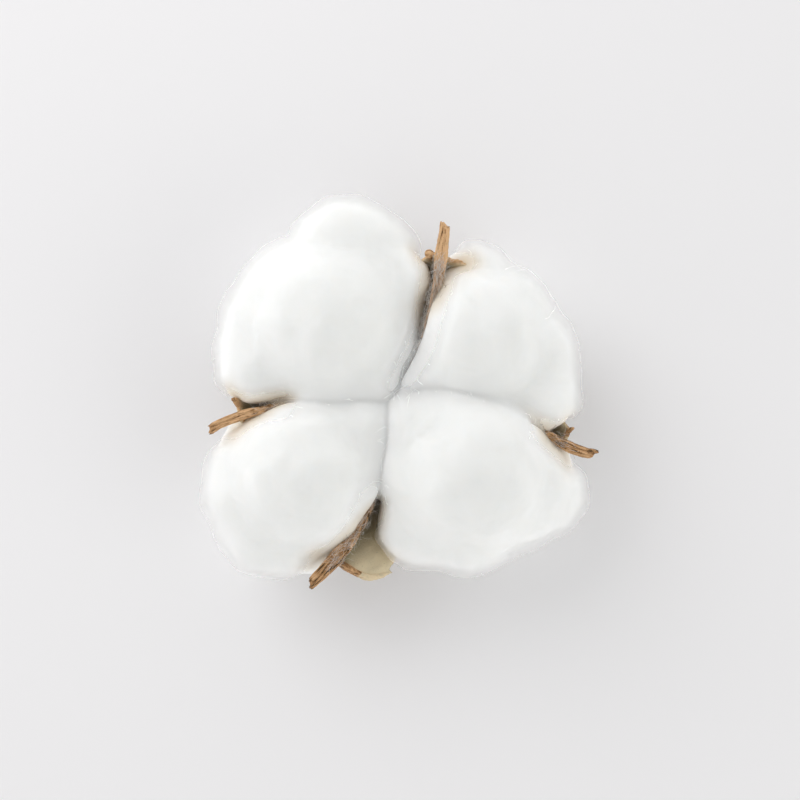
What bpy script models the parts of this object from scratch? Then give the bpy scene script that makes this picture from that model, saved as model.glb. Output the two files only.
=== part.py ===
"""An open cotton boll as picked, lying on its back with the lint up.

It is a dry woody bur of four valves with the cut stub of its stalk, a lock of lint between each
two valves, and the calyx round the foot of the bur. Metres, +Z up. The origin is on the surface that the
boll lies on, under the middle of its outline.
"""

import math
from typing import NamedTuple

import bmesh
import bpy
from mathutils import Matrix, Vector, noise

MM = 0.001
CLEARANCE = 0.3 * MM

# The boll's own middle, seen from above, where its four seams meet. It isn't the middle of the
# outline, because the locks have spread unevenly, so the finished boll is moved over the origin.
MIDDLE = Vector((-2.9, -1.2, 0.0)) * MM

# The woody wall of a valve
WALL_THICKNESS = 1.0 * MM
WALL_START = 0.12
WALL_FOOT = 6.0 * MM
WALL_CUP = 3.0 * MM
FOOT_HALF_WIDTH = 2.5
FULL_WIDTH_AT = 16.0
SEAM_OVER_WALL = 2.0 * MM
NOTCH = 0.6

# The thick rolled rim between a valve's two corners, through the root of its spike
RIM_RADIUS = 0.8 * MM
RIM_CORNER = 0.55 * MM
EAR_POINT = 0.35 * MM

# The partition that stands on a wall, and the two cords along its free edge
PARTITION_THICKNESS = 0.8 * MM
SPIKE_LENGTH = 7.0
CORD_START = 0.33 * MM
CORD_TIP = 0.57 * MM
CORD_SPACING = 0.84
CORD_STAGGER = 0.02

# The base that the valves grow from, the stub of its stalk, and the calyx round both
BASE_RADIUS = 8.6 * MM
BASE_HEIGHT = 7.6 * MM
BASE_HALF_THICKNESS = 2.4 * MM
STALK_RADIUS = 1.8 * MM
STALK_END = 0.7 * MM
CALYX_INNER = 3.0 * MM
CALYX_RIM = 10.2 * MM
CALYX_LOBE = 1.1 * MM
CALYX_LOBES = 5
CALYX_THICKNESS = 0.7 * MM
CALYX_FOOT = 4.1 * MM
CALYX_RISE = 2.1 * MM

# The locks of lint
SEAM_GAP = 0.2 * MM
TUFT_BLEND = 14.0
RELIEF_DEPTH = 0.8 * MM
RELIEF_SIZE = 6.0 * MM
HOLLOW_RADIUS = 12.6 * MM
HOLLOW_TOP = 10.5 * MM
LOCK_TOP = 60.0 * MM
LOCK_CUTS = 10


class Side(NamedTuple):
    """One side of a valve's wall. Lengths are in millimetres."""

    belly: float  # half width, half way out
    rim: float  # half width at the outer corner
    ahead: float  # how far the corner lies beyond the root of the spike
    curl: float  # how far the corner turns up
    ear: float  # how far the rim goes on past the corner


class Valve(NamedTuple):
    """A quarter of the bur, which ends in a woody spike. Lengths are in millimetres."""

    heading: float  # degrees anticlockwise from +X, from the middle to the spike's tip
    reach: float  # from the middle to the spike's tip, seen from above
    bow: float  # how far the seam bends to its left, half way out
    skew: float  # above 0 where most of that bend is near the middle, below 0 near the spike
    foot: float  # height of the seam near the middle
    tip: float  # height of the spike
    cord: float  # radius of each of its two cords at the root of the spike
    left: Side
    right: Side


VALVES = {
    "east": Valve(
        -14.3, 44.3, 4.6, 1.2, 12.0, 24.5, 0.68,
        Side(7.5, 3.0, -0.3, 1.5, 1.2), Side(10.0, 3.0, -0.5, 0.0, 0.4),
    ),
    "north": Valve(
        72.3, 38.5, -3.0, 0.4, 24.0, 26.0, 0.74,
        Side(11.0, 2.5, 0.0, 1.5, 0.4), Side(7.5, 4.2, -0.9, 0.5, 0.8),
    ),
    "west": Valve(
        189.2, 37.4, -2.5, -0.3, 13.0, 25.0, 0.58,
        Side(9.0, 3.6, 0.2, 0.0, 0.4), Side(10.0, 3.3, -0.2, 1.5, 1.0),
    ),
    "south": Valve(
        246.5, 41.2, 5.1, 0.0, 13.0, 24.0, 0.9,
        Side(9.0, 10.6, -4.0, 0.0, 1.2), Side(8.5, 3.6, 0.2, 0.0, 0.4),
    ),
}


class Lock(NamedTuple):
    """The lint of one cell of the boll. Each tuft is a centre and a radius in millimetres."""

    first: str  # the valve on its clockwise side
    last: str  # the valve on its other side
    tufts: tuple  # the widest tuft first, then one for each seed


LOCKS = {
    "lock_north_east": Lock("east", "north", (
        (16.0, 11.5, 21.0, 13.0), (4.8, 2.8, 20.2, 7.4), (9.6, 12.0, 20.0, 7.0),
        (12.0, 18.5, 19.5, 7.8), (15.0, 23.4, 17.5, 7.1), (11.5, 6.4, 21.0, 7.8),
        (19.5, 5.0, 20.4, 7.8), (27.4, 1.4, 19.0, 7.6), (21.0, 16.5, 18.5, 8.2),
        (26.5, 9.0, 18.0, 8.2), (29.0, -1.4, 23.0, 5.4), (20.0, 14.0, 10.9, 11.5),
    )),
    "lock_north_west": Lock("north", "west", (
        (-15.0, 15.5, 21.5, 14.8), (-7.0, 4.2, 21.0, 7.6), (-3.4, 11.5, 20.5, 7.5),
        (-3.2, 19.8, 20.0, 7.9), (-6.6, 28.4, 19.0, 8.2), (-13.5, 4.8, 22.0, 8.0),
        (-21.5, 7.6, 20.0, 8.2), (-28.5, 7.6, 19.0, 8.4), (-23.5, 20.0, 18.0, 9.2),
        (-12.4, 30.4, 18.5, 9.2), (-27.5, 14.0, 18.0, 8.6), (-30.0, 4.4, 23.0, 5.8), (0.4, 24.0, 23.5, 5.2),
        (-20.5, 20.5, 10.9, 11.5),
    )),
    "lock_south_west": Lock("west", "south", (
        (-20.0, -15.5, 21.5, 14.0), (-9.4, -6.9, 21.6, 8.2), (-18.0, -8.4, 21.4, 8.2),
        (-29.0, -12.0, 19.0, 8.4), (-10.8, -14.6, 21.5, 8.0), (-16.5, -24.5, 19.0, 8.0),
        (-31.0, -20.0, 17.5, 8.8), (-27.8, -27.0, 17.0, 8.8), (-20.5, -29.0, 17.0, 7.6),
        (-25.5, -21.0, 10.9, 11.5),
    )),
    "lock_south_east": Lock("south", "east", (
        (14.0, -15.5, 22.5, 15.0), (2.6, -6.6, 22.0, 8.0), (11.0, -6.8, 22.6, 8.6),
        (19.5, -8.8, 21.6, 9.0), (26.0, -15.0, 19.0, 8.8), (3.0, -14.4, 22.0, 8.2),
        (3.2, -26.2, 18.2, 8.2), (24.0, -20.5, 18.0, 9.2), (29.5, -20.0, 15.0, 7.4),
        (13.5, -26.5, 18.0, 9.0), (17.5, -21.0, 10.9, 11.5),
    )),
}


# Helpers


def clear_scene():
    for old in list(bpy.data.objects):
        bpy.data.objects.remove(old)


def new_collection(name):
    collection = bpy.data.collections.new(name)
    bpy.context.scene.collection.children.link(collection)
    return collection


def object_from(bm, name, collection):
    """A new object with a bmesh's faces, all turned outwards."""
    bmesh.ops.recalc_face_normals(bm, faces=bm.faces)
    mesh = bpy.data.meshes.new(name)
    bm.to_mesh(mesh)
    bm.free()
    made = bpy.data.objects.new(name, mesh)
    collection.objects.link(made)
    return made


def applied(source):
    """The mesh of an object with its modifiers applied, doubles merged."""
    bpy.context.view_layer.update()
    graph = bpy.context.evaluated_depsgraph_get()
    mesh = bpy.data.meshes.new_from_object(source.evaluated_get(graph))
    bm = bmesh.new()
    bm.from_mesh(mesh)
    bmesh.ops.remove_doubles(bm, verts=bm.verts, dist=1e-6)
    bm.to_mesh(mesh)
    bm.free()
    return mesh


def thicken(sheet, thickness):
    """Turns an open sheet into a closed solid, half of its thickness on each side."""
    solidify = sheet.modifiers.new("Thickness", "SOLIDIFY")
    solidify.thickness = thickness
    solidify.offset = 0.0
    solidify.use_even_offset = True
    sheet.data = applied(sheet)
    sheet.modifiers.clear()
    return sheet


def swell(solid, distance):
    """Moves every face of a closed solid outwards by a distance."""
    bm = bmesh.new()
    bm.from_mesh(solid.data)
    bm.normal_update()
    moves = [vert.normal * min(2.0, vert.calc_shell_factor()) * distance for vert in bm.verts]
    for vert, move in zip(bm.verts, moves):
        vert.co += move
    bm.to_mesh(solid.data)
    bm.free()


def tube(name, points, radii, collection):
    """A closed tube through points, with its own radius at each."""
    curve = bpy.data.curves.new(name, "CURVE")
    curve.dimensions = "3D"
    curve.bevel_depth = 1.0
    curve.bevel_resolution = 1
    curve.use_fill_caps = True
    spline = curve.splines.new("POLY")
    spline.points.add(len(points) - 1)
    for knot, point, radius in zip(spline.points, points, radii):
        knot.co = (*point, 1.0)
        knot.radius = radius
    guide = bpy.data.objects.new(name, curve)
    collection.objects.link(guide)
    mesh = applied(guide)
    bpy.data.objects.remove(guide)
    made = bpy.data.objects.new(name, mesh)
    collection.objects.link(made)
    return made


def combine(target, pieces, operation):
    """Joins a collection's objects to the target, or cuts them from it, and removes them if joined."""
    boolean = target.modifiers.new("Combine", "BOOLEAN")
    boolean.operation = operation
    boolean.operand_type = "COLLECTION"
    boolean.collection = pieces
    boolean.solver = "EXACT"
    target.data = applied(target)
    target.modifiers.clear()
    if operation == "UNION":
        for piece in list(pieces.objects):
            bpy.data.objects.remove(piece)


def keep_largest(target):
    """Drops the loose scraps that a cut leaves beside the main body."""
    bm = bmesh.new()
    bm.from_mesh(target.data)
    left = set(bm.verts)
    bodies = []
    while left:
        body, edge = set(), [left.pop()]
        while edge:
            vert = edge.pop()
            body.add(vert)
            for link in vert.link_edges:
                other = link.other_vert(vert)
                if other in left:
                    left.discard(other)
                    edge.append(other)
        bodies.append(body)
    bodies.sort(key=len)
    scraps = [vert for body in bodies[:-1] for vert in body]
    bmesh.ops.delete(bm, geom=scraps, context="VERTS")
    bm.to_mesh(target.data)
    bm.free()


def finish_node(target, material, smooth_under=50.0):
    target.data.materials.clear()
    target.data.materials.append(material)
    target.data.shade_smooth()
    target.data.set_sharp_from_angle(angle=math.radians(smooth_under))


def new_material(name, colour, roughness):
    material = bpy.data.materials.new(name)
    material.use_nodes = True
    shader = material.node_tree.nodes["Principled BSDF"]
    shader.inputs["Base Color"].default_value = (*colour, 1.0)
    shader.inputs["Roughness"].default_value = roughness
    shader.inputs["Metallic"].default_value = 0.0
    return material


# The seams


def bearings(valve):
    """Unit vectors ahead, from the middle to the spike's tip, and to its left."""
    angle = math.radians(valve.heading)
    return (
        Vector((math.cos(angle), math.sin(angle), 0.0)),
        Vector((-math.sin(angle), math.cos(angle), 0.0)),
    )


def seam_plan(valve, share, aside=0.0):
    """The point a share of the way out along a seam, at height 0, moved aside to its left."""
    ahead, left = bearings(valve)
    inward = 1.0 - 2.0 * share
    arch = share * (1.0 - share)
    bend = 4.0 * valve.bow * arch * (1.0 + valve.skew * inward)
    slope = 4.0 * valve.bow * (inward * (1.0 + valve.skew * inward) - 2.0 * valve.skew * arch)
    tangent = (ahead * valve.reach + left * slope).normalized()
    across = Vector((-tangent.y, tangent.x, 0.0))
    return MIDDLE + (ahead * (valve.reach * share) + left * bend) * MM + across * aside


def seam_height(valve, share):
    rise = math.sin(min(1.0, share * 1.1) * math.pi / 2.0)
    return (valve.foot + (valve.tip - valve.foot) * rise) * MM


def fork(valve):
    """The share of the way out where the spike leaves the wall."""
    return 1.0 - SPIKE_LENGTH / valve.reach


def wall_height(valve, share):
    """Height of the wall under the seam: it leaves the base level and rises to the fork."""
    top = seam_height(valve, fork(valve)) - SEAM_OVER_WALL
    return WALL_FOOT + (top - WALL_FOOT) * (share / fork(valve)) ** 2


def half_width(valve, side, share):
    """Half width of the wall: narrow at the base, widest half way out, drawn in at the rim."""
    x = min(1.0, share / fork(valve))
    full = (
        FOOT_HALF_WIDTH * (1.0 - x) * (1.0 - 2.0 * x)
        + side.belly * 4.0 * x * (1.0 - x)
        + side.rim * x * (2.0 * x - 1.0)
    )
    near_base = side.belly * share * valve.reach / FULL_WIDTH_AT
    return (full**-4 + near_base**-4) ** -0.25 * MM


def wall_point(valve, along, across, margin=0.0, lift=0.0):
    """A point on the middle of the wall: along 0 to 1 outwards, across -1 to 1 right to left."""
    side = valve.left if across > 0 else valve.right
    from_seam = abs(across)
    ahead = side.ahead * from_seam**4 - NOTCH * math.sin(math.pi * from_seam)
    end = fork(valve) + (ahead + margin / MM) / valve.reach
    share = WALL_START + (end - WALL_START) * along
    half = half_width(valve, side, share)
    aside = across * (half + margin)
    point = seam_plan(valve, share, aside)
    out = min(1.0, share / fork(valve))
    cup = WALL_CUP * math.sin(math.pi * out) + side.curl * MM * out**6
    point.z = wall_height(valve, share) + cup * (aside / half) ** 2 + lift
    return point


# The bur


def sheet(name, point_at, columns, rows, collection):
    """An open grid whose corners run from 0 to 1 both ways, placed by a function."""
    bm = bmesh.new()
    bmesh.ops.create_grid(bm, x_segments=columns, y_segments=rows, size=0.5)
    for vert in bm.verts:
        vert.co = point_at(vert.co.x + 0.5, vert.co.y + 0.5)
    return object_from(bm, name, collection)


def make_wall(key, valve, collection):
    wall = sheet(
        f"wall_{key}", lambda u, v: wall_point(valve, u, 2.0 * v - 1.0), 11, 6, collection
    )
    return thicken(wall, WALL_THICKNESS)


def make_rim(key, valve, collection):
    """The rolled edge of the wall, thickest at the root of the spike, with a pointed ear each side."""
    points, radii = [], []
    for step in range(-6, 7):
        across = step / 6.0
        points.append(wall_point(valve, 1.0, across))
        radii.append(RIM_RADIUS + (RIM_CORNER - RIM_RADIUS) * abs(across) ** 1.5)
    # Each ear is a point that goes on past the corner and turns up
    ears = []
    for side, end, before in ((valve.right, 0, 1), (valve.left, -1, -2)):
        past = (points[end] - points[before]).normalized() + Vector((0.0, 0.0, 0.45))
        ears.append(points[end] + past * side.ear * MM)
    points = [ears[0], *points, ears[1]]
    radii = [EAR_POINT, *radii, EAR_POINT]
    return tube(f"rim_{key}", points, radii, collection)


def make_partition(key, valve, collection):
    """The septum: an upright plate from the wall to the seam."""

    def point_at(u, v):
        share = 0.06 + (fork(valve) - 0.06) * u
        point = seam_plan(valve, share)
        low, high = wall_height(valve, share), seam_height(valve, share)
        point.z = low + (high - low) * v
        return point

    plate = sheet(f"partition_{key}", point_at, 10, 2, collection)
    return thicken(plate, PARTITION_THICKNESS)


def cord_line(valve, side, steps=13):
    """The points and radii of one of the two cords along a seam, side 1 left or -1 right."""
    points, radii = [], []
    start, end = 0.14, 1.0 - (CORD_STAGGER if side < 0 else 0.0)
    for step in range(steps):
        share = start + (end - start) * step / (steps - 1)
        # Thin near the middle, thickest at the root of the spike, then a little slimmer
        if share < fork(valve):
            radius = CORD_START + (valve.cord * MM - CORD_START) * (share / fork(valve)) ** 3
        else:
            out = (share - fork(valve)) / (1.0 - fork(valve))
            radius = valve.cord * MM + (CORD_TIP - valve.cord * MM) * out
        point = seam_plan(valve, share, side * CORD_SPACING * radius)
        point.z = seam_height(valve, share)
        points.append(point)
        radii.append(radius)
    # The blunt end of the spike
    radii[-1] *= 0.7
    return points, radii


def make_cord(key, valve, side, collection):
    points, radii = cord_line(valve, side)
    name = f"cord_{key}_{'left' if side > 0 else 'right'}"
    return tube(name, points, radii, collection)


def flattened_ball(name, centre, radius, half_height, collection):
    bm = bmesh.new()
    bmesh.ops.create_uvsphere(bm, u_segments=20, v_segments=8, radius=1.0)
    bmesh.ops.scale(bm, verts=bm.verts, vec=(radius, radius, half_height))
    bmesh.ops.translate(bm, verts=bm.verts, vec=centre)
    return object_from(bm, name, collection)


def make_valves(collection):
    for key, valve in VALVES.items():
        make_wall(key, valve, collection)
        make_partition(key, valve, collection)
        make_rim(key, valve, collection)
        for side in (1, -1):
            make_cord(key, valve, side, collection)


def make_stalk(collection):
    """The stub of the stalk, cut off short of the surface."""
    heights = (BASE_HEIGHT, STALK_END + 2.2 * MM, STALK_END + 0.4 * MM, STALK_END)
    radii = (STALK_RADIUS * 1.25, STALK_RADIUS, STALK_RADIUS, STALK_RADIUS * 0.85)
    points = [MIDDLE + Vector((0.0, 0.0, height)) for height in heights]
    return tube("stalk", points, radii, collection)


def make_bur(collection, material):
    """Four valves grown together at their base, as one body with the stub of the stalk."""
    pieces = new_collection("bur_pieces")
    make_valves(pieces)
    make_stalk(pieces)
    centre = MIDDLE + Vector((0.0, 0.0, BASE_HEIGHT))
    bur = flattened_ball("bur", centre, BASE_RADIUS, BASE_HALF_THICKNESS, collection)
    combine(bur, pieces, "UNION")
    keep_largest(bur)
    finish_node(bur, material)
    return bur


# The calyx


def make_calyx(collection, material):
    """A thin dry cup under the bur, with a wavy rim of five blunt lobes."""

    def point_at(u, v):
        angle = 2.0 * math.pi * u
        lobe = math.cos(CALYX_LOBES * angle)
        radius = CALYX_INNER + (CALYX_RIM + CALYX_LOBE * lobe - CALYX_INNER) * v
        height = CALYX_FOOT + CALYX_RISE * v**1.3 - 0.25 * MM * v * (1.0 - lobe)
        return MIDDLE + Vector((radius * math.cos(angle), radius * math.sin(angle), height))

    calyx = sheet("calyx", point_at, 40, 3, collection)
    bm = bmesh.new()
    bm.from_mesh(calyx.data)
    bmesh.ops.remove_doubles(bm, verts=bm.verts, dist=1e-6)
    bmesh.ops.recalc_face_normals(bm, faces=bm.faces)
    bm.to_mesh(calyx.data)
    bm.free()
    thicken(calyx, CALYX_THICKNESS)
    finish_node(calyx, material)
    return calyx


# The locks of lint


def ray_exit(direction, offset, radius):
    """How far a ray from the origin goes before it leaves a ball, or 0 where it misses."""
    nearest = direction.dot(offset)
    inside = radius**2 - offset.length_squared + nearest**2
    return max(0.0, nearest + math.sqrt(inside)) if inside > 0.0 else 0.0


def relief(point):
    """Soft creases between small swells of lint."""
    return 1.0 - 2.0 * abs(noise.noise(point / RELIEF_SIZE))


def tuft_surface(lock, direction):
    """The point where a ray from a lock's middle leaves its tufts, which run into each other."""
    balls = [(Vector(tuft[:3]) * MM, tuft[3] * MM) for tuft in lock.tufts]
    heart = balls[0][0]
    exits = [ray_exit(direction, centre - heart, radius) for centre, radius in balls]
    longest = max(exits)
    blend = sum((value / longest) ** TUFT_BLEND for value in exits) ** (1.0 / TUFT_BLEND)
    point = heart + direction * (longest * blend)
    # The underside is pressed smooth
    depth = RELIEF_DEPTH * 0.5 * (1.0 + direction.z)
    return point + direction * (depth * relief(point))


def cell_outline(lock):
    """The outline of a lock's own cell between its two seams, seen from above."""
    first, last = VALVES[lock.first], VALVES[lock.last]
    shares = [0.027, 0.07, 0.12, 0.2, 0.3, 0.4, 0.5, 0.6, 0.7, 0.8, 0.9, 1.0, 1.15, 1.3]
    going_out = [seam_plan(first, share, SEAM_GAP) for share in shares]
    coming_in = [seam_plan(last, share, -SEAM_GAP) for share in reversed(shares)]
    corner = (going_out[-1] - MIDDLE) + (coming_in[0] - MIDDLE) + MIDDLE
    return going_out + [corner] + coming_in


def make_cell(name, lock, collection):
    """The upright prism over a cell, from the surface up."""
    curve = bpy.data.curves.new(name, "CURVE")
    curve.dimensions = "2D"
    curve.fill_mode = "BOTH"
    curve.extrude = LOCK_TOP / 2.0
    outline = cell_outline(lock)
    spline = curve.splines.new("POLY")
    spline.points.add(len(outline) - 1)
    for knot, point in zip(spline.points, outline):
        knot.co = (point.x, point.y, 0.0, 1.0)
    spline.use_cyclic_u = True
    guide = bpy.data.objects.new(name, curve)
    guide.location.z = LOCK_TOP / 2.0
    collection.objects.link(guide)
    mesh = applied(guide)
    mesh.transform(guide.matrix_world)
    bpy.data.objects.remove(guide)
    cell = bpy.data.objects.new(name, mesh)
    collection.objects.link(cell)
    return cell


def make_curtain(key, valve, collection):
    """The room of a valve's wall and all that is under it, which the lint keeps out of."""
    margin = WALL_THICKNESS / 2.0
    bm = bmesh.new()
    bmesh.ops.create_grid(bm, x_segments=11, y_segments=6, size=0.5)
    for vert in bm.verts:
        across = 2.0 * (vert.co.y + 0.5) - 1.0
        vert.co = wall_point(valve, vert.co.x + 0.5, across, margin, 1.6 * margin + CLEARANCE)
    top = list(bm.faces)
    made = bmesh.ops.extrude_face_region(bm, geom=top, use_keep_orig=True)["geom"]
    low = [item for item in made if isinstance(item, bmesh.types.BMVert)]
    bmesh.ops.translate(bm, verts=low, vec=(0.0, 0.0, -LOCK_TOP))
    return object_from(bm, f"curtain_{key}", collection)


def make_hollow(collection):
    """The room under the bur for its foot and the calyx."""
    bm = bmesh.new()
    bmesh.ops.create_cone(
        bm, cap_ends=True, segments=24, radius1=HOLLOW_RADIUS, radius2=HOLLOW_RADIUS * 0.9,
        depth=HOLLOW_TOP * 2.0,
    )
    bmesh.ops.translate(bm, verts=bm.verts, vec=MIDDLE)
    return object_from(bm, "hollow", collection)


def make_cutters():
    """What the bur and its foot take out of the lint, with the clearance round them."""
    cutters = new_collection("lint_cutters")
    make_valves(cutters)
    for piece in cutters.objects:
        swell(piece, CLEARANCE)
    for key, valve in VALVES.items():
        make_curtain(key, valve, cutters)
    make_hollow(cutters)
    return cutters


def ball_of_squares(cuts):
    """A cube cut into even squares and blown up to a ball of radius 1."""
    bm = bmesh.new()
    bmesh.ops.create_cube(bm, size=2.0)
    bmesh.ops.subdivide_edges(bm, edges=bm.edges, cuts=cuts, use_grid_fill=True)
    for vert in bm.verts:
        # Even steps of angle along each edge of the cube give squares of one size
        even = Vector([math.tan(value * math.pi / 4.0) for value in vert.co])
        vert.co = even.normalized()
    return bm


def make_lock(name, lock, cutters, collection, material):
    bm = ball_of_squares(LOCK_CUTS)
    for vert in bm.verts:
        vert.co = tuft_surface(lock, vert.co.copy())
    body = object_from(bm, name, collection)
    cells = new_collection(f"{name}_cell")
    make_cell(f"{name}_prism", lock, cells)
    combine(body, cells, "INTERSECT")
    combine(body, cutters, "DIFFERENCE")
    keep_largest(body)
    for helper in list(cells.objects):
        bpy.data.objects.remove(helper)
    finish_node(body, material)
    return body


def centre_outline(nodes):
    """Moves the whole boll so that the middle of its outline, seen from above, is at the origin."""
    corners = [vert.co for node in nodes for vert in node.data.vertices]
    low = Vector((min(co.x for co in corners), min(co.y for co in corners), 0.0))
    high = Vector((max(co.x for co in corners), max(co.y for co in corners), 0.0))
    for node in nodes:
        node.data.transform(Matrix.Translation((low + high) / -2.0))


def main():
    clear_scene()
    boll = new_collection("cotton_boll")
    husk = new_material("husk", (0.46, 0.31, 0.17), 0.75)
    dry_leaf = new_material("dry_leaf", (0.35, 0.24, 0.14), 0.8)
    lint = new_material("lint", (0.90, 0.89, 0.86), 0.95)
    make_bur(boll, husk)
    make_calyx(boll, dry_leaf)
    cutters = make_cutters()
    for name, lock in LOCKS.items():
        make_lock(name, lock, cutters, boll, lint)
    for helper in list(cutters.objects):
        bpy.data.objects.remove(helper)
    centre_outline(list(boll.objects))


main()
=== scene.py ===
# %% [markdown]
# # An open cotton boll, seen from above
#
# A ripe cotton boll splits into four valves that dry into a woody bur, and the lint of each cell
# swells out into a soft white lock. The engineering model gives every piece its place and its
# size. This lesson dresses it: loose fibre over plump cores, and split, fibrous wood.

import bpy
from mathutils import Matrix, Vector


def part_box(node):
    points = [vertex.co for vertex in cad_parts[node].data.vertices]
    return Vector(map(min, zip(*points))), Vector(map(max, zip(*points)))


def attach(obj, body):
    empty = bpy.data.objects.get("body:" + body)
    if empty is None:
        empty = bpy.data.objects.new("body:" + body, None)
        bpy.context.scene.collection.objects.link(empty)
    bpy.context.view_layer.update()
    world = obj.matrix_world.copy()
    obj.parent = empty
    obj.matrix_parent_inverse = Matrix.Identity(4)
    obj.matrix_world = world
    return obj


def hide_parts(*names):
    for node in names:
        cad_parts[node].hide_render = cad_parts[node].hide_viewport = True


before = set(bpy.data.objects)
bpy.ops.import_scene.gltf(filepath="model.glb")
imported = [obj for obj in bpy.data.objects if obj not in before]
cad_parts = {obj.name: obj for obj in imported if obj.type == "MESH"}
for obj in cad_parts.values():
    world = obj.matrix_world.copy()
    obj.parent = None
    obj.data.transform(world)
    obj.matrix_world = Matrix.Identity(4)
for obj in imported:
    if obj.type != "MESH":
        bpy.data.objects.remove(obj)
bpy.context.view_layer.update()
print("CAD nodes:", sorted(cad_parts))

# %% [markdown]
# The rest of the modules are Blender's own and the standard library's. Every random draw comes
# from a generator with a fixed seed, so the boll grows the same way each time.

# %% Modules and units
import math

import bpy
import numpy as np
from mathutils import Vector, noise
from mathutils.bvhtree import BVHTree

MM = 0.001
FULL_TURN = 2.0 * math.pi
print("units: metres, with MM =", MM)

# %% [markdown]
# ## The camera
#
# The photograph looks straight down on the boll. A long lens from almost half a metre keeps the
# spikes and the locks in the proportions of the picture.

# %% Camera
FRAME_WIDTH = 164.0 * MM
FOCUS_HEIGHT = 22.0 * MM
LENS = 90.0
SENSOR = 36.0
# The point of the boll under the middle of the picture
LOOKED_AT = (-0.545 * MM, -0.896 * MM)
camera_data = bpy.data.cameras.new("camera")
camera_data.lens = LENS
camera_data.sensor_width = SENSOR
camera_data.clip_start = 0.01
camera = bpy.data.objects.new("camera", camera_data)
bpy.context.scene.collection.objects.link(camera)
camera.location = (*LOOKED_AT, FOCUS_HEIGHT + FRAME_WIDTH * LENS / SENSOR)
bpy.context.scene.camera = camera
print("camera height in metres:", round(camera.location.z, 3))

# %% [markdown]
# ## The studio
#
# The boll lies on a pale seamless surface. The main light is large and comes from the top left
# of the picture, and the surface and the walls of the studio send so much light back that the
# edges of the lint are brighter than its middle. So the sky here is bright round the horizon
# and dimmer overhead.

# %% Surface and backdrop
bpy.ops.object.select_all(action="DESELECT")
bpy.ops.mesh.primitive_plane_add(size=3.0, location=(0.0, 0.0, 0.0))
surface = bpy.context.active_object
surface.name = "surface"
print("surface:", surface.dimensions.x, "m wide")

# %% Lights
LIT_POINT = Vector((0.0, 0.0, 0.02))


def area_light(name, place, size, power, colour):
    """A square soft light at a place, turned to face the boll."""
    data = bpy.data.lights.new(name, "AREA")
    data.size = size
    data.energy = power
    data.color = colour
    light = bpy.data.objects.new(name, data)
    bpy.context.scene.collection.objects.link(light)
    light.location = place
    facing = LIT_POINT - Vector(place)
    light.rotation_euler = facing.to_track_quat("-Z", "Y").to_euler()
    return light


area_light("window", (-0.34, 0.34, 0.40), 0.45, 1.15, (1.0, 0.99, 1.0))
area_light("fill", (0.8, -0.45, 0.45), 0.9, 1.8, (1.0, 1.0, 0.98))
print("lights: window and fill")

# %% A socket that understands arithmetic
class Value:
    """A shader value. Arithmetic on it adds Math nodes to its tree."""

    def __init__(self, tree, socket):
        self.tree = tree
        self.socket = socket

    def node(self, kind, settings=None, inputs=None, output=0):
        """Adds a node, sets it up and links its inputs. Returns one of its outputs."""
        made = self.tree.nodes.new(kind)
        for key, setting in (settings or {}).items():
            if key == "stops":
                ramp = made.color_ramp
                while len(ramp.elements) > 1:
                    ramp.elements.remove(ramp.elements[-1])
                for index, (position, colour) in enumerate(setting):
                    stop = ramp.elements[0] if index == 0 else ramp.elements.new(position)
                    stop.position = position
                    stop.color = (*colour, 1.0)
            else:
                setattr(made, key, setting)
        for key, value in (inputs or {}).items():
            if isinstance(value, Value):
                self.tree.links.new(value.socket, made.inputs[key])
            else:
                made.inputs[key].default_value = value
        return Value(self.tree, made.outputs[output])

    def maths(self, operation, first, second=0.0, clamp=False):
        settings = {"operation": operation, "use_clamp": clamp}
        return self.node("ShaderNodeMath", settings, {0: first, 1: second})

    def __add__(self, other):
        return self.maths("ADD", self, other)

    def __sub__(self, other):
        return self.maths("SUBTRACT", self, other)

    def __mul__(self, other):
        return self.maths("MULTIPLY", self, other)

    def clamped(self):
        return self.maths("ADD", self, 0.0, clamp=True)

    def mixed(self, low, high):
        """The colour low where this value is 0, high where it is 1."""
        made = self.tree.nodes.new("ShaderNodeMix")
        made.data_type = "RGBA"
        self.tree.links.new(self.socket, made.inputs[0])
        for slot, colour in ((6, low), (7, high)):
            if isinstance(colour, Value):
                self.tree.links.new(colour.socket, made.inputs[slot])
            else:
                made.inputs[slot].default_value = (*colour, 1.0)
        return Value(self.tree, made.outputs[2])


def new_material(name, roughness):
    """A material, its shader node, and a Value to build expressions from."""
    material = bpy.data.materials.new(name)
    material.use_nodes = True
    shader = material.node_tree.nodes["Principled BSDF"]
    shader.inputs["Roughness"].default_value = roughness
    return material, shader, Value(material.node_tree, None)


def feed(shader, key, value):
    """Links a value to one of the shader's sockets."""
    value.tree.links.new(value.socket, shader.inputs[key])


def bump_to(shader, height, strength, distance):
    """Feeds the shader's normal from a height."""
    inputs = {"Height": height, "Strength": strength, "Distance": distance}
    feed(shader, "Normal", height.node("ShaderNodeBump", {}, inputs))


print("shader helpers ready")

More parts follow.
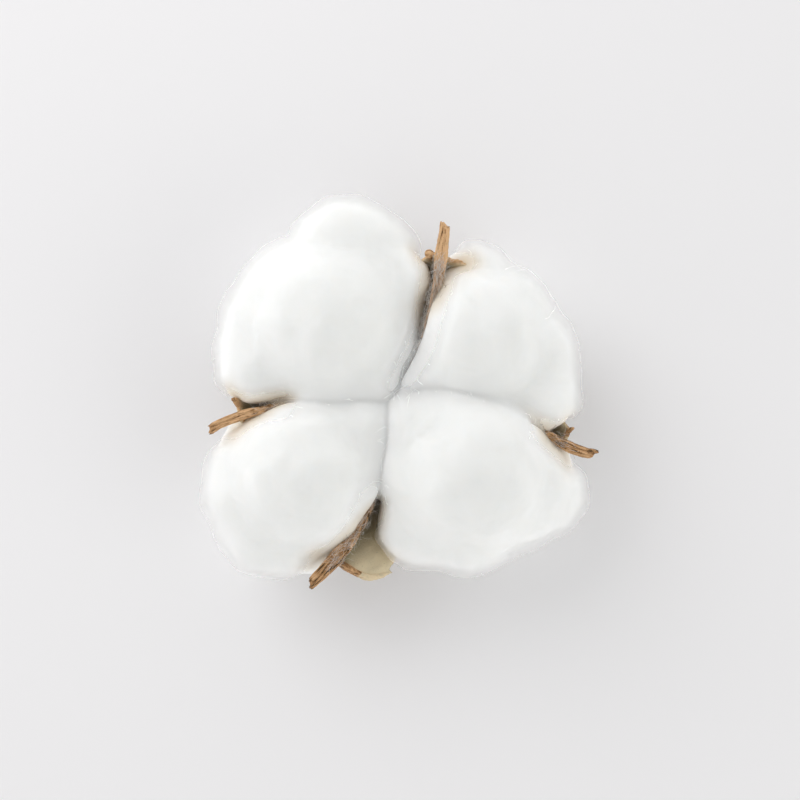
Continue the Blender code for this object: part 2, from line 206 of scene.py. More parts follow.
# %% Sky
# The horizon is brightest on the side of the window
HORIZON_NEAR = (2.42, 2.41, 2.43)
HORIZON_FAR = (2.08, 2.07, 2.05)
ZENITH = (0.37, 0.37, 0.375)
TO_WINDOW = (-0.7, 0.71, 0.0)
SKY_STRENGTH = 0.70
world = bpy.data.worlds.new("studio")
bpy.context.scene.world = world
world.use_nodes = True
sky = Value(world.node_tree, None)
direction = sky.node("ShaderNodeTexCoord", output=0)
to_window = direction.node(
    "ShaderNodeVectorMath", {"operation": "DOT_PRODUCT"}, {0: direction, 1: TO_WINDOW}, 1
)
upward = direction.node("ShaderNodeSeparateXYZ", {}, {0: direction}, output=2)
horizon = (to_window * 0.5 + 0.5).clamped().mixed(HORIZON_FAR, HORIZON_NEAR)
sky_colour = upward.clamped().mixed(horizon, ZENITH)
background = world.node_tree.nodes["Background"]
world.node_tree.links.new(sky_colour.socket, background.inputs["Color"])
background.inputs["Strength"].default_value = SKY_STRENGTH
bpy.context.scene.view_settings.view_transform = "Standard"
print("sky: horizon", HORIZON_NEAR, "to", HORIZON_FAR, "zenith", ZENITH)

# %% Surface finish
PAPER = (0.92, 0.915, 0.92, 1.0)
paper, paper_shader, _ = new_material("paper", 0.9)
paper_shader.inputs["Base Color"].default_value = PAPER
surface.data.materials.append(paper)
print("surface finish:", paper.name)

# %% [markdown]
# ## The bur's plan
#
# Each valve stands on a seam that curves from the middle of the boll out to a spike. The same few
# numbers that built the solids place the strands of wood here: the seam's heading, its bend, its
# height, and the wall that spreads from it. Lengths are in millimetres.

# %% Valves
MIDDLE = Vector((-3.045, -1.196, 0.0))
SPIKE_LENGTH = 7.0
WALL_START, WALL_FOOT, WALL_CUP = 0.12, 6.0, 3.0
FOOT_HALF_WIDTH, FULL_WIDTH_AT, SEAM_OVER_WALL, NOTCH = 2.5, 16.0, 2.0, 0.6
CORD_START, CORD_TIP, CORD_SPACING = 0.33, 0.57, 0.84

# Each side of a wall: belly, rim, ahead, curl
VALVES = {
    "east": dict(heading=-14.3, reach=44.3, bow=4.6, skew=1.2, foot=12.0, tip=24.5, cord=0.68,
                 left=(7.5, 3.0, -0.3, 1.5), right=(10.0, 3.0, -0.5, 0.0)),
    "north": dict(heading=72.3, reach=38.5, bow=-3.0, skew=0.4, foot=24.0, tip=26.0, cord=0.74,
                  left=(11.0, 2.5, 0.0, 1.5), right=(7.5, 4.2, -0.9, 0.5)),
    "west": dict(heading=189.2, reach=37.4, bow=-2.5, skew=-0.3, foot=13.0, tip=25.0, cord=0.58,
                 left=(9.0, 3.6, 0.2, 0.0), right=(10.0, 3.3, -0.2, 1.5)),
    "south": dict(heading=246.5, reach=41.2, bow=5.1, skew=0.0, foot=13.0, tip=24.0, cord=0.9,
                  left=(9.0, 10.6, -4.0, 0.0), right=(8.5, 3.6, 0.2, 0.0)),
}
print("valves:", list(VALVES))

# %% Points on a valve
def seam_plan(valve, share, aside=0.0):
    """The point a share of the way out along a seam, moved aside to its left, at height 0."""
    angle = math.radians(valve["heading"])
    ahead = Vector((math.cos(angle), math.sin(angle), 0.0))
    left = Vector((-ahead.y, ahead.x, 0.0))
    inward = 1.0 - 2.0 * share
    arch = share * (1.0 - share)
    skew = valve["skew"]
    bend = 4.0 * valve["bow"] * arch * (1.0 + skew * inward)
    slope = 4.0 * valve["bow"] * (inward * (1.0 + skew * inward) - 2.0 * skew * arch)
    tangent = (ahead * valve["reach"] + left * slope).normalized()
    across = Vector((-tangent.y, tangent.x, 0.0))
    return MIDDLE + ahead * (valve["reach"] * share) + left * bend + across * aside


def seam_height(valve, share):
    rise = math.sin(min(1.0, share * 1.1) * math.pi / 2.0)
    return valve["foot"] + (valve["tip"] - valve["foot"]) * rise


def fork(valve):
    """The share of the way out where the spike leaves the wall."""
    return 1.0 - SPIKE_LENGTH / valve["reach"]


def cord_radius(valve, share):
    """The radius of each of the two cords of a seam's ridge, thickest at the root of the spike."""
    if share < fork(valve):
        return CORD_START + (valve["cord"] - CORD_START) * (share / fork(valve)) ** 3
    out = (share - fork(valve)) / (1.0 - fork(valve))
    return valve["cord"] + (CORD_TIP - valve["cord"]) * out


def wall_point(valve, along, across, lift=0.0):
    """A point on the wall: along 0 to 1 outwards, across -1 to 1 from right to left."""
    belly, rim, ahead, curl = valve["left"] if across > 0 else valve["right"]
    from_seam = abs(across)
    past = ahead * from_seam**4 - NOTCH * math.sin(math.pi * from_seam)
    end = fork(valve) + past / valve["reach"]
    share = WALL_START + (end - WALL_START) * along
    out = min(1.0, share / fork(valve))
    full = FOOT_HALF_WIDTH * (1.0 - out) * (1.0 - 2.0 * out)
    full += belly * 4.0 * out * (1.0 - out) + rim * out * (2.0 * out - 1.0)
    near_base = belly * share * valve["reach"] / FULL_WIDTH_AT
    half = (full**-4 + near_base**-4) ** -0.25
    point = seam_plan(valve, share, across * half)
    top = seam_height(valve, fork(valve)) - SEAM_OVER_WALL
    cup = WALL_CUP * math.sin(math.pi * out) + curl * out**6
    point.z = WALL_FOOT + (top - WALL_FOOT) * (share / fork(valve)) ** 2
    point.z += cup * across**2 + lift
    return point


tip_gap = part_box("bur")[1].x / MM - seam_plan(VALVES["east"], 1.0).x
print("east spike's tip to the CAD bur's edge, mm:", round(tip_gap, 2))

# %% Where a point lies along the seams
SEAM_SHARES = np.linspace(0.0, 1.06, 90)
VALVE_LIST = list(VALVES.values())
REACHES = np.array([valve["reach"] for valve in VALVE_LIST])
FORKS = np.array([fork(valve) for valve in VALVE_LIST])

SAMPLES = [
    np.array([list(seam_plan(valve, share).xy) for share in SEAM_SHARES]) for valve in VALVE_LIST
]


def seam_places(spots):
    """For each point, in metres: its valve, share along the seam, offset aside and height, mm."""
    plan = spots[:, :2] / MM
    best = np.full(len(plan), np.inf)
    valve_of = np.zeros(len(plan), int)
    share_of = np.zeros(len(plan))
    aside_of = np.zeros(len(plan))
    for number, line in enumerate(SAMPLES):
        gaps = np.linalg.norm(plan[:, None, :] - line[None, :, :], axis=2)
        nearest = gaps.argmin(axis=1)
        gap = gaps.min(axis=1)
        tangent = np.gradient(line, axis=0)[nearest]
        offset = plan - line[nearest]
        side = np.sign(tangent[:, 0] * offset[:, 1] - tangent[:, 1] * offset[:, 0])
        closer = gap < best
        best[closer] = gap[closer]
        valve_of[closer] = number
        share_of[closer] = SEAM_SHARES[nearest[closer]]
        aside_of[closer] = (gap * side)[closer]
    return valve_of, share_of, aside_of, spots[:, 2] / MM


print("seam samples:", sum(len(line) for line in SAMPLES))

# %% [markdown]
# ## Working on a copy of a node
#
# A CAD solid is a shell of loose triangles. A copy of it is merged, remeshed into even small
# faces, and smoothed, so that relief can then be pushed into it. The CAD object itself is never
# touched.

# %% Mesh helpers
def only_select(piece):
    bpy.ops.object.select_all(action="DESELECT")
    piece.select_set(True)
    bpy.context.view_layer.objects.active = piece


def add_modifier(piece, kind, **settings):
    """Adds a modifier and applies it at once."""
    only_select(piece)
    bpy.ops.object.modifier_add(type=kind)
    modifier = piece.modifiers[-1]
    for key, value in settings.items():
        setattr(modifier, key, value)
    bpy.ops.object.modifier_apply(modifier=modifier.name)


def merged_copy(node, name):
    """A copy of a CAD node's mesh in a new object, with its doubles merged."""
    piece = bpy.data.objects.new(name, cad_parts[node].data.copy())
    bpy.context.scene.collection.objects.link(piece)
    piece.data.name = name
    piece.data.materials.clear()
    only_select(piece)
    bpy.ops.object.mode_set(mode="EDIT")
    bpy.ops.mesh.select_all(action="SELECT")
    bpy.ops.mesh.remove_doubles(threshold=0.00001)
    bpy.ops.object.mode_set(mode="OBJECT")
    return piece


def coordinates(mesh, key="co"):
    flat = np.empty(len(mesh.vertices) * 3, np.float32)
    mesh.vertices.foreach_get(key, flat)
    return flat.reshape(-1, 3).astype(float)


def shape_of(mesh):
    """The points of a mesh and their normals, one in each row."""
    return coordinates(mesh), coordinates(mesh, "normal")


def move_to(mesh, places):
    mesh.vertices.foreach_set("co", places.astype(np.float32).ravel())
    mesh.update()


def triangle_count(piece):
    return sum(len(face.vertices) - 2 for face in piece.data.polygons)


def finish(piece, material, slot, *nodes):
    """Gives a piece its finish and its body, and hides the CAD nodes that it stands for."""
    piece.data.materials.clear()
    piece.data.materials.append(material)
    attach(piece, "root")
    if nodes:
        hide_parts(*nodes)
    print(piece.name, triangle_count(piece), "triangles")


print("mesh helpers ready")

# %% [markdown]
# ## Lint
#
# Lint is nearly pure cellulose: white, matt and full of air, so light goes in, scatters and comes
# out softly. The finish is a bright diffuse one with much scattering under the surface and a very
# faint unevenness of tone. Near the wood it is tinted warmer and darker.

# %% Lint finish
def lint_material(name, base, depth, bump):
    """Lint of a base colour. depth is how far the light goes in, and bump adds a fine streak."""
    material, shader, value = new_material(name, 0.95)
    shader.inputs["Subsurface Weight"].default_value = 1.0
    shader.inputs["Subsurface Radius"].default_value = (1.0, 0.97, 0.94)
    shader.inputs["Subsurface Scale"].default_value = depth
    shader.inputs["Specular IOR Level"].default_value = 0.0
    place = value.node("ShaderNodeTexCoord", output=3)
    cloud = place.node("ShaderNodeTexNoise", {}, {"Vector": place, "Scale": 60.0, "Detail": 3.0})
    warmth = place.node("ShaderNodeAttribute", {"attribute_name": "warmth"}, output=2)
    plain = cloud.mixed(tuple(0.985 * part for part in base), base)
    feed(shader, "Base Color", warmth.mixed(plain, WARM))
    if bump:
        streak = place.node(
            "ShaderNodeTexNoise", {},
            {"Vector": place, "Scale": 500.0, "Detail": 6.0, "Distortion": 1.6},
        )
        bump_to(shader, streak, 0.35, 0.2 * MM)
    return material


LINT = (0.88, 0.886, 0.87)
FIBRE = (0.84, 0.845, 0.835)
WARM = (0.74, 0.61, 0.42)
lint = lint_material("lint_core", LINT, 2.5 * MM, True)
fibre = lint_material("lint_fibre", FIBRE, 0.3 * MM, False)
print("finishes:", lint.name, fibre.name)

# %% [markdown]
# ## The cores of the locks
#
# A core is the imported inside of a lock. The CAD solid already has its tufts. Its copy is swollen,
# remeshed and shrunk back, which fills the narrow folds between the tufts and leaves the rest. It
# is smoothed, swollen by the width of the gap that the solids keep at a seam, and moved along its
# normals by a little noise of two sizes.

# %% Where the wood is
LOCKS = ("north_west", "north_east", "south_west", "south_east")
WARM_REACH = 6.0 * MM


def wood_points():
    """Points along the shown parts of the spikes, ridges and rims, in metres."""
    points = []
    for valve in VALVES.values():
        for step in range(12):
            share = 0.55 + 0.45 * step / 11.0
            point = seam_plan(valve, share)
            point.z = seam_height(valve, share)
            points.append(point * MM)
        for across in (-1.0, -0.6, 0.6, 1.0):
            points.append(wall_point(valve, 1.0, across) * MM)
            points.append(wall_point(valve, 0.85, across * 0.7) * MM)
    return np.array(points)


WOOD = wood_points()


def add_warmth(mesh, places, most=0.9):
    """Stores how near each point is to the wood, as the attribute that the finish reads."""
    gaps = np.linalg.norm(places[:, None, :] - WOOD[None, :, :], axis=2).min(axis=1)
    values = most * np.clip(1.0 - gaps / WARM_REACH, 0.0, 1.0) ** 1.2
    layer = mesh.attributes.new("warmth", "FLOAT", "POINT")
    layer.data.foreach_set("value", values.astype(np.float32))


print("points on the wood:", len(WOOD))

# %% Make the cores
CORE_CELL = 0.6 * MM
SWELL = 0.3 * MM
FOLD = 2.5 * MM
RESTING_BELOW = 1.2 * MM


def swell(piece, height):
    """Moves a mesh out along its normals by a height."""
    spots, out = shape_of(piece.data)
    move_to(piece.data, spots + out * height)


def fill_folds(piece, cell, reach):
    """Fills folds narrower than twice the reach: the mesh is swollen, remeshed and shrunk back."""
    add_modifier(piece, "REMESH", mode="VOXEL", voxel_size=cell, use_smooth_shade=True)
    swell(piece, reach)
    add_modifier(piece, "REMESH", mode="VOXEL", voxel_size=cell, use_smooth_shade=True)
    add_modifier(piece, "SMOOTH", factor=0.5, iterations=4)
    swell(piece, -reach)


def relief_at(place):
    """Height of the lint's own relief in metres."""
    broad = noise.noise(place / (7.0 * MM))
    nap = noise.noise(place / (1.4 * MM))
    return (0.22 * broad + 0.07 * nap) * MM


def make_core(place):
    core = merged_copy(f"lock_{place}", f"core_{place}")
    fill_folds(core, CORE_CELL, FOLD)
    add_modifier(core, "SMOOTH", factor=0.5, iterations=20)
    mesh = core.data
    spots, out = shape_of(mesh)
    lifts = np.array([relief_at(Vector(spot)) for spot in spots]) + SWELL
    resting = np.clip(spots[:, 2] / RESTING_BELOW, 0.0, 1.0)
    spots = spots + out * (lifts * resting)[:, None]
    spots[:, 2] = np.maximum(spots[:, 2], 0.02 * MM)
    move_to(mesh, spots)
    return core


cores = {place: make_core(place) for place in LOCKS}
print("cores:", [core.name for core in cores.values()])

# %% [markdown]
# ## Lint in the seams
#
# Where two locks touch, their hair has mingled, so the seam between them is a soft furrow and not
# a slit. A strip of lint laid over each seam would show its edges. So the tops of the cores
# themselves are raised to a cloth that is laid over all of them: it rests on the high places and
# spans the furrows. A faint crease stays along each seam, and where the wood of a ridge shows,
# the furrow stays open.

# %% Search trees
def joined_tree(pieces):
    """One search tree over the faces of several pieces."""
    spots, faces = [], []
    for piece in pieces:
        start = len(spots)
        spots.extend(vertex.co.copy() for vertex in piece.data.vertices)
        for face in piece.data.polygons:
            faces.append([start + index for index in face.vertices])
    return BVHTree.FromPolygons(spots, faces)


SKY_HIGH = 100.0 * MM
DOWN = Vector((0.0, 0.0, -1.0))
core_tree = joined_tree(cores.values())


def lint_height(x, y):
    """Height of the cores under a place in the plan, in metres."""
    hit, _, _, _ = core_tree.ray_cast(Vector((x, y, SKY_HIGH)), DOWN)
    return hit.z if hit else 10.0 * MM


print("lint at the middle, mm:", round(lint_height(*(MIDDLE.xy * MM)) / MM, 1))

# %% A cloth over the cores
CLOTH_CELL = 0.5 * MM
CLOTH_CELLS = 168
SETTLING = 22
cloth_lines = (np.arange(CLOTH_CELLS + 1) - CLOTH_CELLS / 2) * CLOTH_CELL


def neighbours(field):
    return [np.roll(field, step, axis) for step in (1, -1) for axis in (0, 1)]


def settled(ground):
    """Heights of a cloth that rests on the high places of a ground and spans the low ones."""
    cover = ground.copy()
    for _ in range(SETTLING):
        cover = np.maximum(ground, sum(neighbours(cover)) / 4.0)
    return cover


def read_field(field, spots):
    """The values of a field over the plan at some points, blended between its cells."""
    place = np.clip(spots[:, :2] / CLOTH_CELL + CLOTH_CELLS / 2, 0.0, CLOTH_CELLS - 0.001)
    column, row = place.astype(int).T
    across, up = (place - place.astype(int)).T
    low = field[row, column] * (1.0 - across) + field[row, column + 1] * across
    high = field[row + 1, column] * (1.0 - across) + field[row + 1, column + 1] * across
    return low * (1.0 - up) + high * up


ground = np.array([[lint_height(x, y) for x in cloth_lines] for y in cloth_lines])
cloth = settled(ground)
print("highest the cloth stands off, mm:", round(float((cloth - ground).max() / MM), 1))

# %% Raise the cores to the cloth
SEAM_ENDS = {"east": 0.74, "north": 0.10, "west": 0.56, "south": 0.46}
END_LENGTH = 0.14

# How deep the crease along each seam is, in millimetres
CREASE = {"east": 0.4, "north": 0.4, "west": 0.1, "south": 0.9}
CREASE_WIDTH = 0.6


def beside_wood(spots, clear, fade):
    """1 beside the wood that shows on a ridge, 0 on lint. clear and fade are widths in mm."""
    valve_of, share, aside, _ = seam_places(spots)
    ends = np.array([SEAM_ENDS[key] for key in VALVES])[valve_of]
    past = np.clip((share - ends + END_LENGTH) / END_LENGTH, 0.0, 1.0)
    return past * (1.0 - np.clip((np.abs(aside) - clear) / fade, 0.0, 1.0))


def settle_core(place, core):
    mesh = core.data
    spots, out = shape_of(mesh)
    top = (out[:, 2] > 0.15) & (spots[:, 2] > read_field(ground, spots) - 1.0 * MM)
    wood_near = beside_wood(spots, 1.6, 3.0)
    filled = (1.0 - wood_near) * top
    valve_of, _, aside, _ = seam_places(spots)
    depth = np.array([CREASE[key] for key in VALVES])[valve_of]
    crease = depth * np.exp(-((aside / CREASE_WIDTH) ** 2)) * MM
    rise = np.maximum(read_field(cloth, spots) - spots[:, 2], 0.0)
    spots[:, 2] += (rise - crease) * filled
    # The sides meet: each core reaches a little past the seam into its neighbour
    side = (np.abs(aside) < 1.2) * (1.0 - np.clip(out[:, 2] * 1.4, 0.0, 1.0))
    spots[:, :2] += out[:, :2] * (side * (0.7 - 0.35 * wood_near) * MM)[:, None]
    move_to(mesh, spots)
    add_modifier(core, "SMOOTH", factor=0.5, iterations=4)
    add_warmth(mesh, coordinates(mesh))
    finish(core, lint, "lint", f"lock_{place}")


for place, core in cores.items():
    settle_core(place, core)

# %% [markdown]
# ## Veils
#
# The outer millimetres of a lock are so loose that light goes through them: they cover what is
# behind them only in part. Enough hairs to do that would shade each other grey. So three skins
# round all four cores stand for them, and each covers less than the one inside it. They sink into
# the cores beside the wood, so that no lint hangs over it.

# %% Make the veils
VEIL_CELL = 0.95 * MM

# How far each veil stands off the cores, in millimetres, and how much it covers
VEILS = {"inner": (0.6, 0.28), "middle": (1.2, 0.21), "outer": (1.9, 0.15)}


def make_veil(name, height, cover):
    """One skin round all the cores, lifted by a height in millimetres."""
    copies = []
    for core in cores.values():
        copy = bpy.data.objects.new(f"veil_{name}", core.data.copy())
        bpy.context.scene.collection.objects.link(copy)
        copies.append(copy)
    bpy.ops.object.select_all(action="DESELECT")
    for copy in copies:
        copy.select_set(True)
    bpy.context.view_layer.objects.active = copies[0]
    bpy.ops.object.join()
    veil = copies[0]
    add_modifier(veil, "REMESH", mode="VOXEL", voxel_size=VEIL_CELL, use_smooth_shade=True)
    mesh = veil.data
    spots, out = shape_of(mesh)
    gaps = np.linalg.norm(spots[:, None, :] - WOOD[None, :, :], axis=2).min(axis=1) / MM
    free = (1.0 - beside_wood(spots, 1.5, 3.5)) * np.clip((gaps - 2.0) / 3.0, 0.0, 1.0)
    free *= np.clip(spots[:, 2] / (4.0 * MM), 0.0, 1.0)
    _, _, aside, _ = seam_places(spots)
    height = height * np.clip(0.3 + np.abs(aside) / 8.0, 0.0, 1.0)
    ruffle = np.array([noise.fractal(Vector(spot) / (4.0 * MM), 1.0, 2.0, 2) for spot in spots])
    lifts = height * (1.0 + 0.4 * ruffle) * free - 0.5 * (1.0 - free)
    spots = spots + out * (lifts * MM)[:, None]
    spots[:, 2] = np.maximum(spots[:, 2], 0.05 * MM)
    move_to(mesh, spots)
    add_modifier(veil, "SMOOTH", factor=0.5, iterations=5)
    material = lint_material(f"lint_veil_{name}", LINT, 2.0 * MM, False)
    material.node_tree.nodes["Principled BSDF"].inputs["Alpha"].default_value = cover
    add_warmth(mesh, coordinates(mesh))
    # Loose lint lets the light through to the core, so a veil casts no shadow and dims nothing
    veil.visible_shadow = False
    veil.visible_diffuse = False
    finish(veil, material, "lint")


for name, (height, cover) in VEILS.items():
    make_veil(name, height, cover)

# %% [markdown]
# ## Rods laid along paths
#
# Fibres and strands of wood are both long thin things. One rod is modelled for each, and a copy
# of it is laid along every path, with its own girth.

# %% One rod
def make_rod(name, sides, levels):
    """A closed rod from z = 0 to 1 with levels of points, and a single point at each end."""
    bpy.ops.object.select_all(action="DESELECT")
    bpy.ops.mesh.primitive_cylinder_add(
        vertices=sides, radius=1.0, depth=1.0, end_fill_type="NOTHING", location=(0.0, 0.0, 0.5)
    )
    rod = bpy.context.active_object
    rod.name = name
    bpy.ops.object.transform_apply(location=True, rotation=False, scale=False)
    bpy.ops.object.mode_set(mode="EDIT")
    steps = levels - 1
    for step in range(1, steps):
        bpy.ops.mesh.select_all(action="SELECT")
        bpy.ops.mesh.bisect(plane_co=(0.0, 0.0, step / steps), plane_no=(0.0, 0.0, 1.0))
    for end in (0.0, 1.0):
        bpy.ops.mesh.select_all(action="DESELECT")
        bpy.ops.object.mode_set(mode="OBJECT")
        for vertex in rod.data.vertices:
            vertex.select = abs(vertex.co.z - end) < 0.001
        bpy.ops.object.mode_set(mode="EDIT")
        bpy.ops.mesh.merge(type="CENTER")
    bpy.ops.object.mode_set(mode="OBJECT")
    shape = coordinates(rod.data)
    faces = [tuple(face.vertices) for face in rod.data.polygons]
    bpy.data.objects.remove(rod)
    print(name, len(shape), "points,", len(faces), "faces")
    return shape, faces


def lay_along(rod, paths, radii):
    """Lays a copy of the rod along each path. There is one radius for each point of a path."""
    shape, faces = rod
    levels = paths.shape[1]
    level = np.rint(shape[:, 2] * (levels - 1)).astype(int)
    forward = np.gradient(paths, axis=1)
    forward /= np.linalg.norm(forward, axis=2, keepdims=True) + 1e-12
    lean = np.abs(forward.mean(axis=1))
    reference = np.eye(3)[lean.argmin(axis=1)][:, None, :]
    aside = np.cross(forward, np.broadcast_to(reference, forward.shape))
    aside /= np.linalg.norm(aside, axis=2, keepdims=True) + 1e-12
    upward = np.cross(forward, aside)
    spots = paths[:, level, :] + radii[:, level, None] * (
        aside[:, level, :] * shape[None, :, 0, None] + upward[:, level, :] * shape[None, :, 1, None]
    )
    corners = np.array([vertex for face in faces for vertex in face], np.int64)
    sizes = np.array([len(face) for face in faces], np.int64)
    offsets = np.arange(len(paths))[:, None] * len(shape)
    return spots.reshape(-1, 3), (corners[None, :] + offsets).ravel(), np.tile(sizes, len(paths))


def mesh_from(name, spots, corners, sizes):
    """One mesh object from flat arrays of points, face corners and face sizes."""
    mesh = bpy.data.meshes.new(name)
    mesh.vertices.add(len(spots))
    mesh.vertices.foreach_set("co", spots.astype(np.float32).ravel())
    mesh.loops.add(len(corners))
    mesh.loops.foreach_set("vertex_index", corners.astype(np.int32))
    mesh.polygons.add(len(sizes))
    starts = np.concatenate(([0], np.cumsum(sizes)[:-1]))
    mesh.polygons.foreach_set("loop_start", starts.astype(np.int32))
    mesh.update(calc_edges=True)
    mesh.validate()
    mesh.shade_smooth()
    piece = bpy.data.objects.new(name, mesh)
    bpy.context.scene.collection.objects.link(piece)
    return piece


def unit(rows):
    return rows / (np.linalg.norm(rows, axis=-1, keepdims=True) + 1e-12)


FIBRE_LEVELS, STRAND_LEVELS = 5, 40
fibre_rod = make_rod("fibre", 3, FIBRE_LEVELS)
strand_rod = make_rod("strand", 8, STRAND_LEVELS)

# %% [markdown]
# ## Fibre
#
# What makes cotton look like cotton is the loose hair on it. A path starts in the lint and
# wanders over it. Some hairs stay close as down, in a slow swirl. Others arch over it as a halo,
# and a few stand further off in loops and free ends. Both of these are kept only on lint that
# faces sideways, where they break up the outline: on the tops they would look like scratches.

# %% Paths over the lint
def surface_samples(mesh, count, draw):
    """Random points on a mesh with their normals, evenly over its area."""
    mesh.calc_loop_triangles()
    corner = np.empty(len(mesh.loop_triangles) * 3, np.int32)
    mesh.loop_triangles.foreach_get("vertices", corner)
    triangle = coordinates(mesh)[corner.reshape(-1, 3)]
    cross = np.cross(triangle[:, 1] - triangle[:, 0], triangle[:, 2] - triangle[:, 0])
    area = np.linalg.norm(cross, axis=1)
    chosen = draw.choice(len(triangle), count, p=area / area.sum())
    first, second = draw.random(count), draw.random(count)
    fold = first + second > 1.0
    first[fold], second[fold] = 1.0 - first[fold], 1.0 - second[fold]
    corner_at = triangle[chosen, 0]
    one_side, other_side = triangle[chosen, 1] - corner_at, triangle[chosen, 2] - corner_at
    points = corner_at + one_side * first[:, None] + other_side * second[:, None]
    return points, cross[chosen] / area[chosen][:, None]


shell_tree = joined_tree(cores.values())
OPEN_ROOM = 2.5 * MM


def open_samples(core, count, draw):
    """Points where nothing stands close in front: not in a seam, and not on the surface below."""
    points, out = surface_samples(core.data, count * 3, draw)
    kept = []
    for index, (point, normal) in enumerate(zip(points, out)):
        ahead = Vector(normal)
        start = Vector(point) + ahead * (0.15 * MM)
        hit, _, _, _ = shell_tree.ray_cast(start, ahead, OPEN_ROOM)
        if hit is None and point[2] > 1.5 * MM:
            kept.append(index)
        if len(kept) == count:
            break
    return points[kept], out[kept]


FLOW_OFFSETS = [Vector((0.0, 0.0, 0.0)), Vector((31.4, 0.0, 0.0)), Vector((0.0, 27.1, 0.0))]


def flow_at(point):
    """The way the hair lies at a point: a slow swirl that changes over some millimetres."""
    place = point / (12.0 * MM)
    return Vector([noise.noise(place + offset) for offset in FLOW_OFFSETS])


def hair_paths(start, out, length, height, curl, loose, draw):
    """Paths from points on the lint, each lifting off by up to its own height."""
    count = len(start)
    swirl = unit(np.array([flow_at(Vector(point)) for point in start]))
    heading = unit(swirl + draw.normal(0.0, 0.6, (count, 3)))
    heading = unit(heading - out * (heading * out).sum(axis=1, keepdims=True))
    lengths = length * draw.uniform(0.6, 1.4, count)
    tops = height * draw.exponential(1.0, count).clip(0.1, 2.6)
    free = draw.random(count) < loose
    steps = FIBRE_LEVELS - 1
    bend = draw.normal(0.0, curl, (count, 3))
    paths = np.empty((count, FIBRE_LEVELS, 3))
    ground, out = start.copy(), out.copy()
    for step in range(FIBRE_LEVELS):
        share = step / steps
        arch = math.sin(math.pi * share) ** 0.8
        lift = np.where(free, share**1.3, arch) * tops - 0.12 * MM * (1.0 - share)
        paths[:, step] = ground + out * lift[:, None]
        if step == steps:
            break
        bend = unit(bend + draw.normal(0.0, 0.5, (count, 3))) * curl
        heading = unit(heading + bend)
        heading = unit(heading - out * (heading * out).sum(axis=1, keepdims=True))
        ahead = ground + heading * (lengths / steps)[:, None]
        for index in range(count):
            near, normal, _, _ = shell_tree.find_nearest(Vector(ahead[index]))
            ground[index] = near
            out[index] = normal
    return paths


tried, _ = open_samples(cores["north_west"], 50, np.random.default_rng(1))
print("open points on one core:", len(tried))

# %% Lay the fibre
TAPER = np.array([0.0, 1.0, 1.0, 0.85, 0.0])
fuzz_draw = np.random.default_rng(17)

# Lint faces sideways where the upward part of its normal is less than this
SIDEWAYS = 0.3

# How sharply a hair bends at each step, and the share of hairs with a free end
CURL, LOOSE = 0.6, 0.4

# Each kind of hair: how many, and in millimetres their length, height and radius
HAIR = {
    "down": (600, 6.0, 0.4, 0.014),
    "halo": (3200, 7.0, 0.6, 0.008),
    "wisps": (300, 9.0, 1.7, 0.0065),
}


def make_fuzz(place, core):
    """All the loose hair of one lock, in one piece."""
    paths, girths = [], []
    for kind, (count, length, height, radius) in HAIR.items():
        start, out = open_samples(core, count, fuzz_draw)
        if kind != "down":
            sideways = out[:, 2] < SIDEWAYS
            start, out = start[sideways], out[sideways]
        laid = hair_paths(start, out, length * MM, height * MM, CURL, LOOSE, fuzz_draw)
        paths.append(laid)
        girths.append(radius * MM * fuzz_draw.uniform(0.7, 1.3, len(laid)))
    paths = np.concatenate(paths)
    paths[:, :, 2] = np.maximum(paths[:, :, 2], 0.06 * MM)
    radii = np.concatenate(girths)[:, None] * TAPER
    fuzz = mesh_from(f"fuzz_{place}", *lay_along(fibre_rod, paths, radii))
    add_warmth(fuzz.data, coordinates(fuzz.data), 0.6)
    finish(fuzz, fibre, "lint")


for place, core in cores.items():
    make_fuzz(place, core)

# %% [markdown]
# ## Wood
#
# The bur is brown and fibrous on its ridges, spikes and rolled rims, and cream and smooth on the
# inside of its walls, where the lint lay against it. The finish reads attributes of the mesh:
# where a point is along its own seam, how much of it is inner wall, how much painted shade it takes
# in the grooves and on sides that face down, how dark the end of a spike is, how much painted shade
# darkens the inner wall to olive in the hollows beside a seam, and how much paler or darker its
# valve is. So the grain follows each valve outwards instead of running straight through the whole
# bur.

# %% Wood finish
# How much paler or darker each valve is, above 0 paler and below 0 darker
PALE = np.array([-0.02, 0.24, 0.12, -0.06])


def add_grain(mesh, along, aside, height, **layers):
    """Stores where the grain runs, and one attribute for each named layer of values."""
    rows = np.stack([along, aside, height], axis=1).astype(np.float32)
    mesh.attributes.new("grain", "FLOAT_VECTOR", "POINT").data.foreach_set("vector", rows.ravel())
    for name, values in layers.items():
        layer = mesh.attributes.new(name, "FLOAT", "POINT")
        layer.data.foreach_set("value", values.astype(np.float32))


